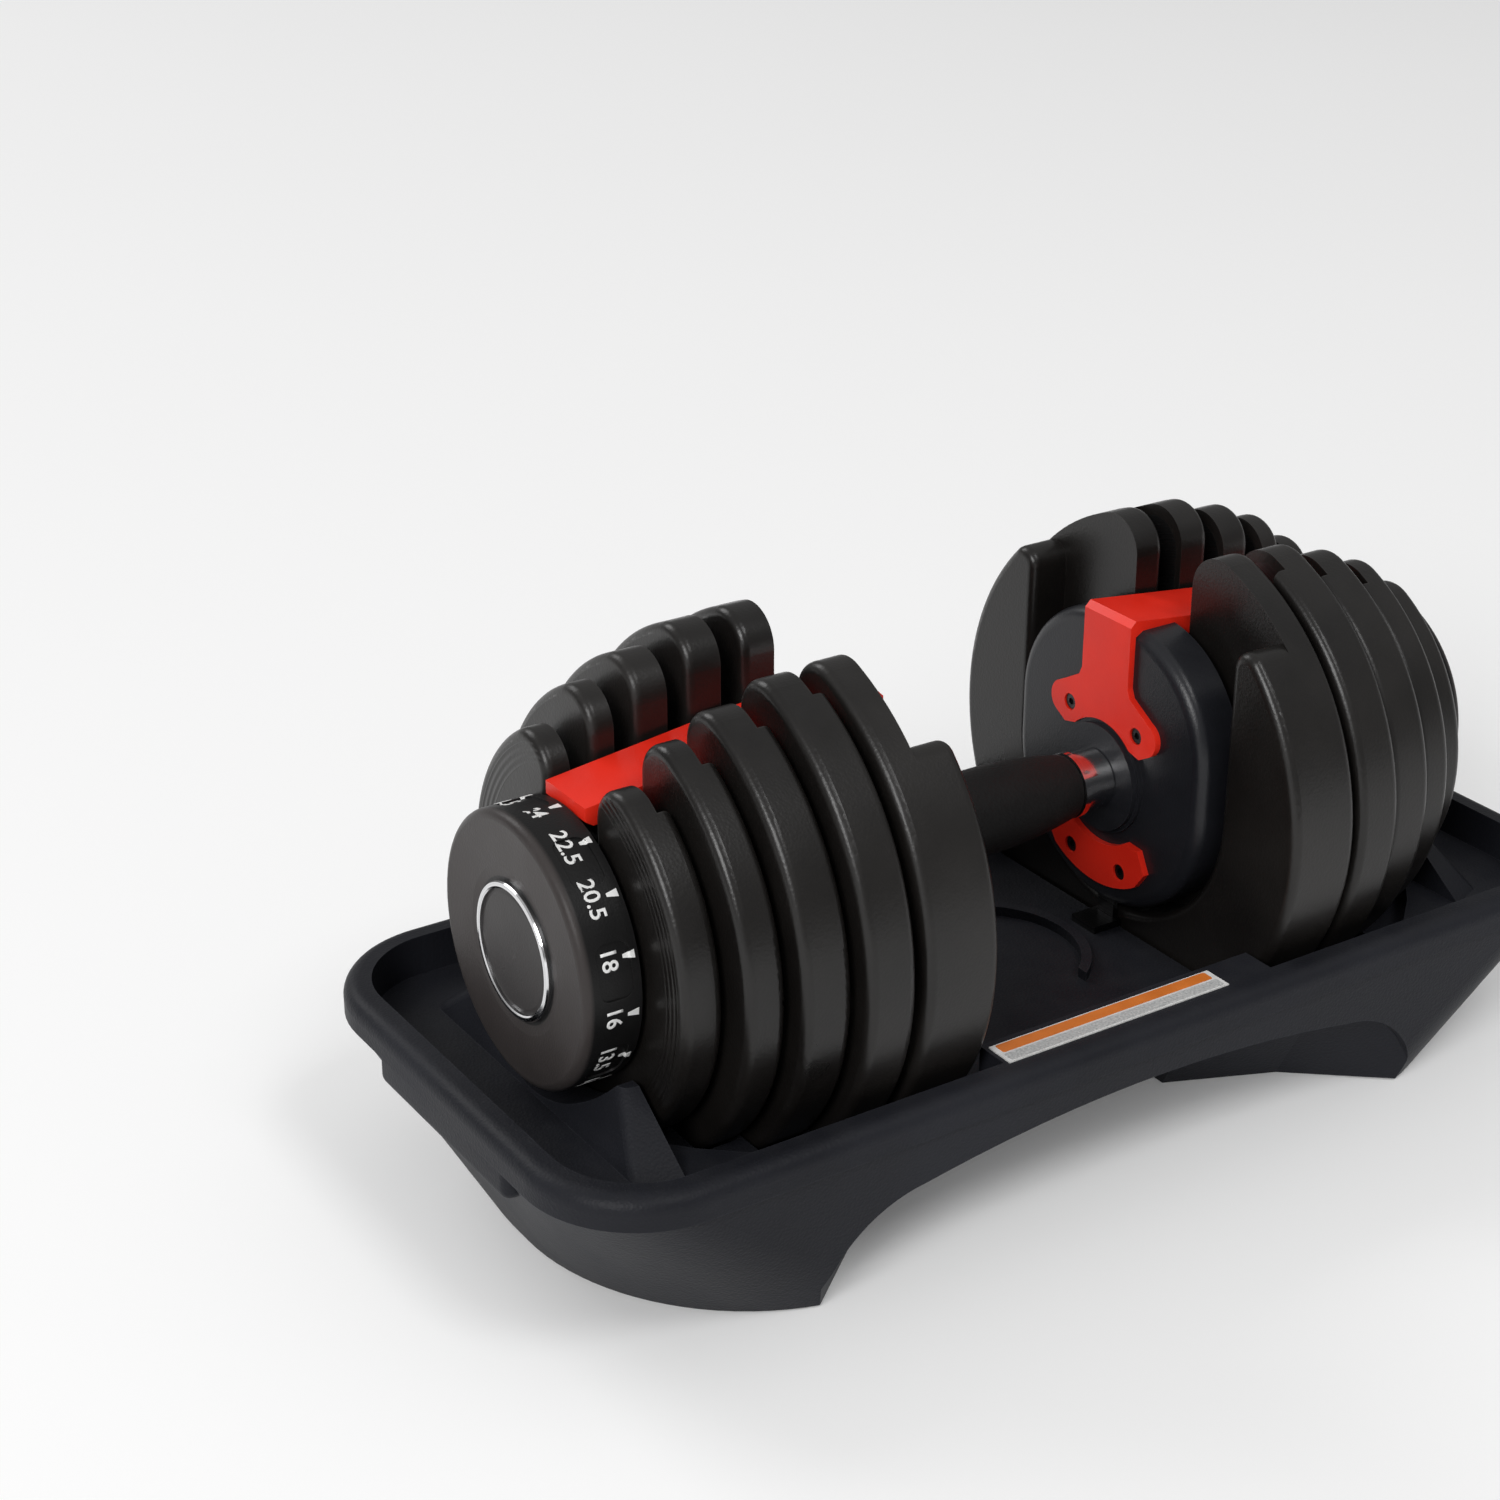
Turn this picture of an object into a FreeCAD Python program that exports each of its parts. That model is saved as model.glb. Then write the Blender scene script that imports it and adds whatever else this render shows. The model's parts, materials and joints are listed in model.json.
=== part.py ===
import FreeCAD, Part
import math
import os
import re

import Sketcher

# Adjustable dumbbell standing in its storage cradle, in millimetres.
# X runs along the handle, Z is up, and the origin is on the ground under the middle of the handle.
# Everything is drawn for the +X end and mirrored for the -X end.

doc = FreeCAD.newDocument("adjustable_dumbbell")
sheet = doc.addObject("Spreadsheet::Sheet", "dims")

DIMENSIONS = {
    "axle_height": 115.0,
    "axle_radius": 8.0,
    "bore_gap": 0.05,
    # handle
    "grip_half": 40.0,
    "grip_end_radius": 12.4,
    "grip_mid_radius": 16.6,
    "tube_radius": 10.0,
    "tube_inner_radius": 7.2,
    "tube_half": 61.0,
    "collar_radius": 11.6,
    "collar_lip_radius": 12.8,
    "collar_out": 54.5,
    "axle_in": 63.2,
    "axle_out": 190.0,
    "axle_head_radius": 11.0,
    # lock slider in the housing
    "slider_in": 63.6,
    "slider_out": 65.8,
    "slider_nose": 41.6,
    "slider_reach": 56.0,
    # housing behind the grip
    "housing_in": 59.0,
    "housing_out": 77.6,
    "housing_half": 54.0,
    "housing_top": 64.0,
    "housing_corner": 46.0,
    "housing_wall": 4.0,
    "housing_boss_radius": 21.5,
    "housing_step_radius": 22.9,
    "bearing_radius": 14.0,
    "bearing_out": 71.0,
    # bracket and bridge over the plates
    "bracket_thick": 2.6,
    "bridge_half": 13.4,
    "bridge_out": 177.6,
    "bridge_in_top": 68.0,
    "bridge_out_top": 53.5,
    "bridge_thin": 3.8,
    "bridge_deep": 7.0,
    "screw_upper_y": 19.5,
    "screw_upper_z": 24.0,
    "screw_lower_y": 14.6,
    "screw_lower_z": -35.5,
    "screw_head_radius": 3.0,
    "screw_shank_radius": 1.7,
    # weight plates, number 1 outermost
    "plate1_radius": 73.0,
    "plate2_radius": 84.0,
    "plate3_radius": 91.0,
    "plate4_radius": 97.0,
    "plate5_radius": 98.0,
    "plate1_in": 160.8,
    "plate2_in": 143.4,
    "plate3_in": 121.8,
    "plate4_in": 99.8,
    "plate5_in": 83.0,
    "plate1_out": 176.0,
    "plate2_out": 158.4,
    "plate3_out": 140.8,
    "plate4_out": 119.2,
    "plate5_out": 96.4,
    "plate1_core": 5.5,
    "plate2_core": 7.8,
    "plate3_core": 11.8,
    "plate4_core": 12.2,
    "plate5_core": 9.8,
    "notch_half": 16.0,
    "lobe_tip_radius": 14.0,
    "rim_round": 3.5,
    "cover_wall": 4.0,
    "recess_half": 41.0,
    "recess_depth": 5.6,
    "wing_in": 66.4,
    "wing_half": 57.8,
    "wing_tip_radius": 7.0,
    # selector discs and their lugs
    "disc_radius": 38.0,
    "disc_thick": 2.2,
    "disc_gap": 0.6,
    "flange_inner": 30.0,
    "flange_outer": 33.5,
    "flange_width": 2.3,
    "hub_radius": 12.5,
    "lug_bottom": 29.3,
    "lug_top": 22.0,
    "lug_half": 5.0,
    "lug_reach": 2.4,
    # dial
    "dial_in": 178.4,
    "dial_face": 200.0,
    "dial_radius": 50.0,
    "dial_shoulder": 196.6,
    "dial_face_radius": 46.8,
    "dial_wall": 3.2,
    "dial_hub_radius": 15.0,
    "ring_outer": 25.0,
    "ring_inner": 22.6,
    "badge_depth": 1.6,
    "finger_depth": 0.7,
    # cradle
    "rim_top": 74.0,
    "rim_bottom": 62.0,
    "rim_long": 230.0,
    "rim_wide": 104.5,
    "rim_corner": 42.0,
    "foot_long": 201.0,
    "foot_wide": 97.5,
    "foot_corner": 92.0,
    "foot_rise": 1.0,
    "foot_hollow_top": 32.0,
    "deck_top": 50.0,
    "deck_thick": 2.5,
    "deck_half": 82.0,
    "wall": 4.0,
    "pocket_floor": 58.0,
    "rim_width": 9.0,
    "well_in": 61.5,
    "well_out": 178.6,
    "well_half": 91.0,
    "trough_gap": 1.0,
    "seat_radius": 56.0,
    "pedestal_top": 79.0,
}
for row, (alias, value) in enumerate(DIMENSIONS.items(), start=1):
    sheet.set("A%d" % row, alias)
    sheet.set("B%d" % row, str(value))
    sheet.setAlias("B%d" % row, alias)
doc.recompute()

D = DIMENSIONS
AXIS_Z = D["axle_height"]
PLATES = (1, 2, 3, 4, 5)
CLICK = 24.0
FINGER_POCKETS = 8
FIRST_POCKET = 257.0
# The plates that each click of the dial picks up, from the heaviest setting to the lightest.
SETTINGS = ((1, 2, 3, 4, 5), (2, 3, 4, 5), (3, 4, 5), (2, 4, 5), (4, 5), (3, 4), (2, 4), (1, 4),
            (4,), (1, 3), (3,), (1, 2), (2,), (1,), ())
TURN_X = FreeCAD.Rotation(FreeCAD.Vector(0, 1, 0), 90)
nodes = []


def dim(text):
    """An expression whose plain words are turned into references to the sheet's cells."""
    if not isinstance(text, str):
        return repr(float(text))
    return re.sub(r"[a-z][a-z0-9_]*", lambda word: "dims." + word.group(0), text)


def number(text):
    """The present value of an expression, or of a plain number."""
    if not isinstance(text, str):
        return float(text)
    return float(sheet.evalExpression(dim(text)))


def bind(thing, path, text):
    if isinstance(text, str):
        thing.setExpression(path, dim(text))


def place(thing, x, y, z, turn=None):
    """Put a primitive at a place whose coordinates may be expressions."""
    rotation = turn or FreeCAD.Rotation()
    thing.Placement = FreeCAD.Placement(FreeCAD.Vector(number(x), number(y), number(z)), rotation)
    bind(thing, "Placement.Base.x", x)
    bind(thing, "Placement.Base.y", y)
    bind(thing, "Placement.Base.z", z)


def block(x0, x1, y0, y1, z0, z1):
    """A box between two corners."""
    thing = doc.addObject("Part::Box", "block")
    for prop, low, high in (("Length", x0, x1), ("Width", y0, y1), ("Height", z0, z1)):
        setattr(thing, prop, number(high) - number(low))
        thing.setExpression(prop, "(%s) - (%s)" % (dim(high), dim(low)))
    place(thing, x0, y0, z0)
    return thing


def rod(x0, x1, radius, y=0.0, z="axle_height", angle=360.0):
    """A cylinder along X from x0 to x1."""
    thing = doc.addObject("Part::Cylinder", "rod")
    thing.Radius = number(radius)
    bind(thing, "Radius", radius)
    thing.Height = number(x1) - number(x0)
    thing.setExpression("Height", "(%s) - (%s)" % (dim(x1), dim(x0)))
    thing.Angle = angle
    place(thing, x0, y, z, TURN_X)
    return thing


def fuse(*things):
    thing = doc.addObject("Part::MultiFuse", "fuse")
    thing.Shapes = list(things)
    return thing


def cut(base, *tools):
    thing = doc.addObject("Part::Cut", "cut")
    thing.Base = base
    thing.Tool = tools[0] if len(tools) == 1 else fuse(*tools)
    return thing


def common(*things):
    thing = doc.addObject("Part::MultiCommon", "common")
    thing.Shapes = list(things)
    return thing


def outline(owner, name, corners):
    """A closed sketch. A corner is (u, v), or (u, v, mid_u, mid_v) where an arc leaves it."""
    make = owner.newObject if owner else doc.addObject
    sketch = make("Sketcher::SketchObject", name)
    total = len(corners)
    for index, corner in enumerate(corners):
        after = corners[(index + 1) % total]
        start = FreeCAD.Vector(number(corner[0]), number(corner[1]), 0)
        end = FreeCAD.Vector(number(after[0]), number(after[1]), 0)
        if len(corner) == 4:
            middle = FreeCAD.Vector(number(corner[2]), number(corner[3]), 0)
            left_turn = (middle - start).cross(end - middle).z > 0
            edge = Part.Arc(start, middle, end) if left_turn else Part.Arc(end, middle, start)
        else:
            edge = Part.LineSegment(start, end)
        sketch.addGeometry(edge, False)
    ends = [edge_ends(sketch, index, corner) for index, corner in enumerate(corners)]
    for index, corner in enumerate(corners):
        after = (index + 1) % total
        sketch.addConstraint(
            Sketcher.Constraint("Coincident", index, ends[index][1], after, ends[after][0]))
        for kind, value in (("DistanceX", corner[0]), ("DistanceY", corner[1])):
            made = sketch.addConstraint(
                Sketcher.Constraint(kind, -1, 1, index, ends[index][0], number(value)))
            if isinstance(value, str):
                sketch.setExpression("Constraints[%d]" % made, dim(value))
        if len(corner) == 4:
            hold_centre(sketch, index)
    return sketch


def hold_centre(sketch, index):
    """Fix an arc's centre along the line halfway between its ends."""
    arc = sketch.Geometry[index]
    chord = arc.EndPoint - arc.StartPoint
    kind, value = ("DistanceY", arc.Center.y) if abs(chord.x) > abs(chord.y) else (
        "DistanceX", arc.Center.x)
    sketch.addConstraint(Sketcher.Constraint(kind, -1, 1, index, 3, value))


def edge_ends(sketch, index, corner):
    """The start and end numbers of an edge as the outline runs: an arc may be stored backwards."""
    edge = sketch.Geometry[index]
    corner_point = FreeCAD.Vector(number(corner[0]), number(corner[1]), 0)
    return (1, 2) if edge.StartPoint.distanceToPoint(corner_point) < 1e-6 else (2, 1)


def pad(name, role, corners, length, offset=0.0, z=0.0):
    """A PartDesign body: one closed outline on an origin plane, padded by a length."""
    body = doc.addObject("PartDesign::Body", name)
    plane = next(p for p in body.Origin.OriginFeatures if p.Role == role)
    sketch = outline(body, name + "_outline", corners)
    sketch.AttachmentSupport = [(plane, "")]
    sketch.MapMode = "FlatFace"
    sketch.AttachmentOffset = FreeCAD.Placement(
        FreeCAD.Vector(0, 0, number(offset)), FreeCAD.Rotation())
    bind(sketch, "AttachmentOffset.Base.z", offset)
    feature = body.newObject("PartDesign::Pad", name + "_pad")
    feature.Profile = sketch
    feature.Length = number(length)
    bind(feature, "Length", length)
    place(body, 0.0, 0.0, z)
    doc.recompute()
    return body


def across(name, corners, x0, x1):
    """An outline in Y and height over the axle, padded from x0 to x1."""
    return pad(name, "YZ_Plane", corners, "(%s) - (%s)" % (x1, x0), x0, "axle_height")


def loft(name, low, low_z, high, high_z):
    """A solid between two level outlines with the same number of edges."""
    sections = []
    for corners, level in ((low, low_z), (high, high_z)):
        sketch = outline(None, name + "_section", corners)
        place(sketch, 0.0, 0.0, level)
        sections.append(sketch)
    feature = doc.addObject("Part::Loft", name)
    feature.Sections = sections
    feature.Solid = True
    feature.Ruled = True
    return feature


def turned(name, corners):
    """A PartDesign body: an outline in X and radius, revolved about the axle line."""
    body = doc.addObject("PartDesign::Body", name)
    plane = next(p for p in body.Origin.OriginFeatures if p.Role == "XZ_Plane")
    axis = next(p for p in body.Origin.OriginFeatures if p.Role == "X_Axis")
    sketch = outline(body, name + "_outline", corners)
    sketch.AttachmentSupport = [(plane, "")]
    sketch.MapMode = "FlatFace"
    feature = body.newObject("PartDesign::Revolution", name + "_turn")
    feature.Profile = sketch
    feature.ReferenceAxis = (axis, [""])
    feature.Angle = 360.0
    place(body, 0.0, 0.0, "axle_height")
    doc.recompute()
    return body


def rounded(thing, radius, wanted):
    """A Part fillet of every edge that a test picks."""
    doc.recompute()
    edges = [index for index, edge in enumerate(thing.Shape.Edges, start=1) if wanted(edge)]
    feature = doc.addObject("Part::Fillet", "fillet")
    feature.Base = thing
    size = number(radius)
    feature.Edges = [(index, size, size) for index in edges]
    return feature


def flipped(thing, normal):
    """The mirror image of a solid in a plane through the origin."""
    mirror = doc.addObject("Part::Mirroring", "mirror")
    mirror.Source = thing
    mirror.Normal = FreeCAD.Vector(*normal)
    return mirror


def node(thing, name):
    """Name a finished piece: the label is the node and the file."""
    thing.Label = name
    nodes.append(thing)
    return thing


def both_ends(thing, name):
    """The finished piece of the +X end, and its mirror image at the -X end."""
    node(thing, name + "_right")
    node(flipped(thing, (1, 0, 0)), name + "_left")


# ---- the grip and the tube through it ----

BORE = "tube_radius + bore_gap"
AXLE_BORE = "axle_radius + bore_gap"


def grip():
    start, end = "0 - grip_half", "grip_half"
    shoulder = "grip_end_radius - 1"
    return turned("grip", [
        (start, BORE), (end, BORE), (end, shoulder),
        ("grip_half - 1", "grip_end_radius", 0.0, "grip_mid_radius"),
        ("1 - grip_half", "grip_end_radius"), (start, shoulder)])


def handle_tube():
    return cut(rod("0 - tube_half", "tube_half", "tube_radius"),
               rod("0 - tube_half", "tube_half", "tube_inner_radius"))


def collar():
    start, lip_end = "grip_half + 0.1", "grip_half + 2.6"
    return turned("collar", [
        (start, BORE), ("collar_out", BORE), ("collar_out", "collar_radius"),
        (lip_end, "collar_radius"), (lip_end, "collar_lip_radius"), (start, "collar_lip_radius")])


# ---- the housing at each end of the grip, its bracket and the bridge over the plates ----

def quarter(cx, cy, radius, turn):
    """The middle point of a quarter arc round a centre, from its quadrant's turn in degrees."""
    angle = math.radians(turn)
    return cx + radius * math.cos(angle), cy + radius * math.sin(angle)


def shield(inset):
    """The housing's outline, inset by a wall: upright sides, a round crown and a round bottom."""
    half = D["housing_half"] - inset
    top = D["housing_top"] - inset
    radius = D["housing_corner"] - inset
    crown, side = half - radius, top - radius
    return [(half, 0.0), (half, side, *quarter(crown, side, radius, 45)), (crown, top),
            (-crown, top, *quarter(-crown, side, radius, 135)), (-half, side),
            (-half, 0.0, 0.0, -half)]


def bridge_profile(gap):
    """Side view of the bridge: thin over the housing, then deeper, sloping down to the dial."""
    inner, outer = D["housing_in"] - D["bracket_thick"] - gap, D["bridge_out"]
    top, low = D["bridge_in_top"], D["bridge_out_top"]
    slope = (top - low) / (outer - inner)
    thin_end, deep_start = D["housing_out"] + 2, D["housing_out"] + 6
    corner, thin, deep = 2.4, D["bridge_thin"] + gap, D["bridge_deep"] + gap
    return [(inner, top - 8), (inner, top - corner), (inner + corner, top), (outer, low),
            (outer, low - deep + 2), (outer - 3, low - deep),
            (deep_start, top - slope * (deep_start - inner) - deep),
            (thin_end, top - slope * (thin_end - inner) - thin), (inner + 6, top - thin - 0.6)]


def bridge_bar(name, gap):
    half = "bridge_half + %r" % gap
    return pad(name, "XZ_Plane", bridge_profile(gap), "2 * (%s)" % half, "0 - (%s)" % half,
               "axle_height")


def screw_places():
    upper = (D["screw_upper_y"], D["screw_upper_z"])
    lower = (D["screw_lower_y"], D["screw_lower_z"])
    return [(sign * y, AXIS_Z + z) for y, z in (upper, lower) for sign in (1, -1)]


def screw_holes(x0, x1, radius):
    return [rod(x0, x1, radius, y, z) for y, z in screw_places()]


def housing():
    shell = rounded(across("housing_shell", shield(0.0), "housing_in", "housing_out"), 5.0,
                    lambda edge: edge.BoundBox.XMax < D["housing_in"] + 0.01)
    hollow = across("housing_hollow", shield(D["housing_wall"]), "housing_in + housing_wall",
                    "housing_out + 1")
    solid = fuse(cut(shell, hollow),
                 rod("collar_out + 0.3", "housing_in + 1", "housing_boss_radius"),
                 rod("housing_in - 1.8", "housing_in + 1", "housing_step_radius"),
                 rod("housing_in + 1", "bearing_out", "bearing_radius"))
    slot = block("slider_in - 0.2", "slider_out + 0.2", "-5.4", "5.4", "axle_height - 60",
                 "axle_height - 45")
    return cut(solid, rod("collar_out", "tube_half", BORE),
               rod("tube_half - 0.1", "bearing_out + 1", AXLE_BORE),
               rod("axle_in - 0.2", "axle_in + 2.6", "axle_head_radius + 0.3"),
               *screw_holes("housing_in - 3", "housing_in + 6", "screw_shank_radius"),
               bridge_bar("bridge_seat", 0.1), slot)


def bridge():
    """The red bracket on the housing's face and the bar that crosses the plates, in one."""
    half = D["bridge_half"]
    lobe = [(16.0, 16.6), (22.0, 15.2), (28.0, 18.6, 30.8, 25.0), (26.0, 31.0), (half + 1.5, 37.5),
            (half, 41.0), (half, D["bridge_in_top"] - 3)]
    other = [(-u, v) for u, v, *_ in reversed(lobe)]
    other[3] = (-26.0, 31.0, -30.8, 25.0)
    other[-1] = (-16.0, 16.6, 0.0, 23.2)
    face = across("bracket_face", lobe + other, "housing_in - bracket_thick", "housing_in")
    return cut(fuse(face, bridge_bar("bridge_bar", 0.0)),
               *screw_holes("housing_in - 5", "housing_in + 1", "screw_head_radius + 0.3")[:2])


def lower_plate():
    """The red crescent under the boss."""
    right = [(24.0, -38.0), (29.0, -31.0), (24.5, -22.5), (17.0, -22.0, 0.0, -27.8)]
    left = [(-17.0, -22.0), (-24.5, -22.5), (-29.0, -31.0), (-24.0, -38.0, 0.0, -45.0)]
    face = across("crescent", right + left, "housing_in - bracket_thick", "housing_in")
    return cut(face, *screw_holes("housing_in - 5", "housing_in + 1",
                                  "screw_head_radius + 0.3")[2:])


def bracket_screws():
    """Four hexagon socket screws in each housing, all in one node."""
    screws = []
    for y, z in screw_places():
        head = rod("housing_in - 1.9", "housing_in", "screw_head_radius", y, z)
        shank = rod("housing_in - 0.1", "housing_in + 6", "screw_shank_radius", y, z)
        socket = doc.addObject("Part::Prism", "socket")
        socket.Polygon = 6
        socket.Circumradius = 1.5
        socket.Height = 1.2
        place(socket, "housing_in - 2.0", y, z, TURN_X)
        screws.append(cut(fuse(head, shank), socket))
    group = fuse(*screws)
    return fuse(group, flipped(group, (1, 0, 0)))


def lock_slider():
    """The bar that locks the dial: its tongue stands on the cradle's post, its nose is over disc 5."""
    slider_x = ("slider_in", "slider_out")
    frame = block(*slider_x, -18, 18, "axle_height - 20", "axle_height + 22")
    arm = block(*slider_x, -4, 4, "axle_height + 20", "axle_height + 44")
    nose = block("slider_in", "plate5_in - 3", -3, 3, "axle_height + slider_nose",
                 "axle_height + 44")
    tongue = block(*slider_x, -5, 5, "axle_height - slider_reach", "axle_height - 19")
    window = [block("slider_in - 1", "slider_out + 1", -14.8, 14.8, "axle_height",
                    "axle_height + 4")]
    for lift in (0, 4):
        window.append(rod("slider_in - 1", "slider_out + 1", 14.8, 0.0, "axle_height + %d" % lift))
    return cut(fuse(frame, arm, nose, tongue), *window)


# ---- the dial, its axle and the selector discs ----

def web_face(k):
    """Where the face of plate k lies that its selector disc runs beside."""
    return "plate5_in" if k == 5 else "plate%d_in + recess_depth" % k


def disc_start(k):
    return "%s - recess_depth + disc_gap" % web_face(k)


def picked_runs(k):
    """The runs of dial clicks that pick up plate k, as first click and count, round the circle."""
    picked = [k in setting for setting in SETTINGS]
    total = len(picked)
    runs = []
    for first in range(total):
        if picked[first] and not picked[first - 1]:
            count = 1
            while picked[(first + count) % total]:
                count += 1
            runs.append((first, count))
    return runs


def sector(x0, x1, radius, start, sweep):
    """A slice of a cylinder along X: its angles run from straight down towards +Y."""
    thing = rod(x0, x1, radius, angle=sweep)
    thing.Placement.Rotation = TURN_X * FreeCAD.Rotation(FreeCAD.Vector(0, 0, 1), start)
    return thing


def selector_disc(k):
    """A disc whose broken flange passes under the plate's lug at the clicks that pick it up."""
    start = disc_start(k)
    face = "%s + disc_thick" % start
    hub_end = "dial_in - 0.1" if k == 1 else "%s - 0.1" % disc_start(k - 1)
    lip = "%s + flange_width" % face
    slices = []
    for first, count in picked_runs(k):
        slices.append(sector("%s - 0.5" % face, lip, "flange_outer", CLICK * (first - 0.5),
                             CLICK * count))
    flange = cut(fuse(*slices) if len(slices) > 1 else slices[0],
                 rod("%s - 1" % face, "%s + 1" % lip, "flange_inner"))
    solid = fuse(rod(start, face, "disc_radius"), rod(start, hub_end, "hub_radius"), flange)
    return cut(solid, rod("%s - 1" % start, "%s + 1" % hub_end, AXLE_BORE))


def axle():
    shaft = rod("axle_in", "axle_out", "axle_radius")
    head = rod("axle_in", "axle_in + 2.2", "axle_head_radius")
    thread = rod("axle_out - 12", "axle_out + 1", 3.0)
    return cut(fuse(shaft, head), thread)


def dial_screw():
    """The screw that holds the dial on its axle."""
    head = rod("axle_out + 3", "axle_out + 6.4", 7.0)
    shank = rod("axle_out - 11.8", "axle_out + 4", 2.95)
    socket = doc.addObject("Part::Prism", "socket")
    socket.Polygon = 6
    socket.Circumradius = 2.6
    socket.Height = 3.0
    place(socket, "axle_out + 4", 0.0, "axle_height", TURN_X)
    return cut(fuse(head, shank), socket)


def finger_pocket(index):
    """One of the shallow rounded finger pockets round the dial's rim."""
    angle = FIRST_POCKET + 360.0 / FINGER_POCKETS * index
    width = 23.0
    arc = sector("dial_in + 3", "dial_shoulder - 2.4", "dial_radius + 2", angle - width / 2, width)
    ring = cut(arc, rod("dial_in", "dial_face", "dial_radius - finger_depth"))
    return rounded(ring, 4.0, lambda edge: is_radial(edge))


def is_radial(edge):
    """True for a straight edge that points at the axle and doesn't run along it."""
    first, last = edge.Vertexes[0].Point, edge.Vertexes[-1].Point
    return edge.Curve.TypeId == "Part::GeomLine" and abs(first.x - last.x) < 0.01


def dial():
    face = "dial_face"
    wall = "dial_radius - dial_wall"
    ring_seat = "dial_face - badge_depth"
    bore_end, screw_seat = "axle_out + 0.1", "axle_out + 3"
    body = turned("dial_body", [
        ("dial_in", AXLE_BORE), ("dial_in", "dial_hub_radius"),
        ("dial_face - 4.8", "dial_hub_radius"), ("dial_face - 4.8", wall), ("dial_in", wall),
        ("dial_in", "dial_radius"), ("dial_shoulder", "dial_radius", 199.0, 49.0),
        (face, "dial_face_radius"), ("dial_face - 0.9", 30.0), (ring_seat, "ring_outer + 0.1"),
        (ring_seat, 8.4), (screw_seat, 8.4), (screw_seat, 3.2), (bore_end, 3.2),
        (bore_end, AXLE_BORE)])
    return cut(body, *[finger_pocket(index) for index in range(FINGER_POCKETS)])


def dial_ring():
    return turned("ring_body", [
        ("dial_face - badge_depth", "ring_inner"), ("dial_face + 0.3", "ring_inner"),
        ("dial_face + 0.6", "ring_inner + 0.6"), ("dial_face + 0.4", "ring_outer - 0.4"),
        ("dial_face - 0.2", "ring_outer"), ("dial_face - badge_depth", "ring_outer")])


def dial_cap():
    return turned("cap_body", [
        ("dial_face - badge_depth", 0.0), ("dial_face + 0.2", 0.0), ("dial_face - 0.3", 20.6),
        ("dial_face - 0.7", "ring_inner - 0.05"), ("dial_face - badge_depth", "ring_inner - 0.05")])


# ---- the weight plates: a moulded cover over a steel core, with a notch for the axle ----

def notched(radius, half, tip, half_word):
    """A disc's outline with a round-bottomed notch from the top: two lobes with round tips."""
    rise = math.sqrt((radius - tip) ** 2 - (half + tip) ** 2)
    away = (half + tip) / (radius - tip), rise / (radius - tip)
    touch = (away[0] * radius, away[1] * radius)
    bend = math.hypot(away[0] - 1, away[1])
    mid = (half + tip + tip * (away[0] - 1) / bend, rise + tip * away[1] / bend)
    minus = "0 - (%s)" % half_word
    return [(half_word, 0.0), (half_word, rise, *mid), (*touch, 0.0, -radius),
            (-touch[0], touch[1], -mid[0], mid[1]), (minus, rise), (minus, 0.0, 0.0, -half)]


def notched_disc(name, radius, half_word, tip, x0, x1):
    return across(name, notched(radius, number(half_word), tip, half_word), x0, x1)


def on_faces(*levels):
    """A test for the edges that lie in a plate's outer faces."""
    def wanted(edge):
        box = edge.BoundBox
        return box.XLength < 0.01 and any(abs(box.XMin - level) < 0.01 for level in levels)
    return wanted


def core_start(k):
    return "plate5_in + 2" if k == 5 else web_face(k)


def core(k):
    """The steel: a notched disc, a ring in front of it round the recess, and the lug below."""
    radius = D["plate%d_radius" % k] - D["cover_wall"]
    start = core_start(k)
    disc = notched_disc("core%d" % k, radius, "notch_half + 3", D["lobe_tip_radius"] - 2, start,
                        "%s + plate%d_core" % (start, k))
    front = "wing_in + 2.2" if k == 5 else "plate%d_in + 2" % k
    ring_half = "wing_half + cover_wall" if k == 5 else "recess_half + cover_wall"
    parts = [disc]
    if radius > number(ring_half) + 12:
        parts.append(notched_disc("core_ring%d" % k, radius, ring_half, 5.0, front, start))
    lug = block("%s - lug_reach" % web_face(k), start, "0 - lug_half", "lug_half",
                "axle_height - lug_bottom", "axle_height - lug_top")
    return fuse(*parts, lug)


def cover(k, steel):
    """The moulded cover: open at the notch and at the recess where the selector disc turns."""
    radius = D["plate%d_radius" % k]
    x0, x1 = "plate%d_in" % k, "plate%d_out" % k
    web = notched_disc("cover%d" % k, radius, "notch_half", D["lobe_tip_radius"], x0, x1)
    tools = [steel]
    if k == 5:
        web = rounded(web, "rim_round", on_faces(number(x1)))
        wing = notched_disc("wing", radius, "wing_half", D["wing_tip_radius"], "wing_in",
                            "plate5_in")
        solid = fuse(web, rounded(wing, "rim_round", on_faces(D["wing_in"])))
        tools.append(rod(x0, "%s + 2" % x0, "recess_half"))
    else:
        solid = rounded(web, "rim_round", on_faces(number(x0), number(x1)))
        tools.append(rod("%s - 1" % x0, web_face(k), "recess_half"))
        tools.append(block("%s - 1" % x0, web_face(k), "0 - recess_half", "recess_half",
                           "axle_height", "axle_height + 100"))
    return cut(solid, *tools)


# ---- the cradle ----

def tray_corners(long, wide, radius):
    """A level rounded rectangle from its half length, half width and corner radius."""
    cx, cy = long - radius, wide - radius
    return [(-cx, -wide), (cx, -wide, *quarter(cx, -cy, radius, -45)), (long, -cy),
            (long, cy, *quarter(cx, cy, radius, 45)), (cx, wide),
            (-cx, wide, *quarter(-cx, cy, radius, 135)), (-long, cy),
            (-long, -cy, *quarter(-cx, -cy, radius, -135))]


def grown(gap):
    """The rim's outline, larger or smaller by a gap."""
    return tray_corners(D["rim_long"] + gap, D["rim_wide"] + gap, D["rim_corner"] + gap)


def foot_outline(gap):
    """The tray's outline on the ground."""
    return tray_corners(D["foot_long"] + gap, D["foot_wide"] + gap, D["foot_corner"] + gap)


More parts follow.
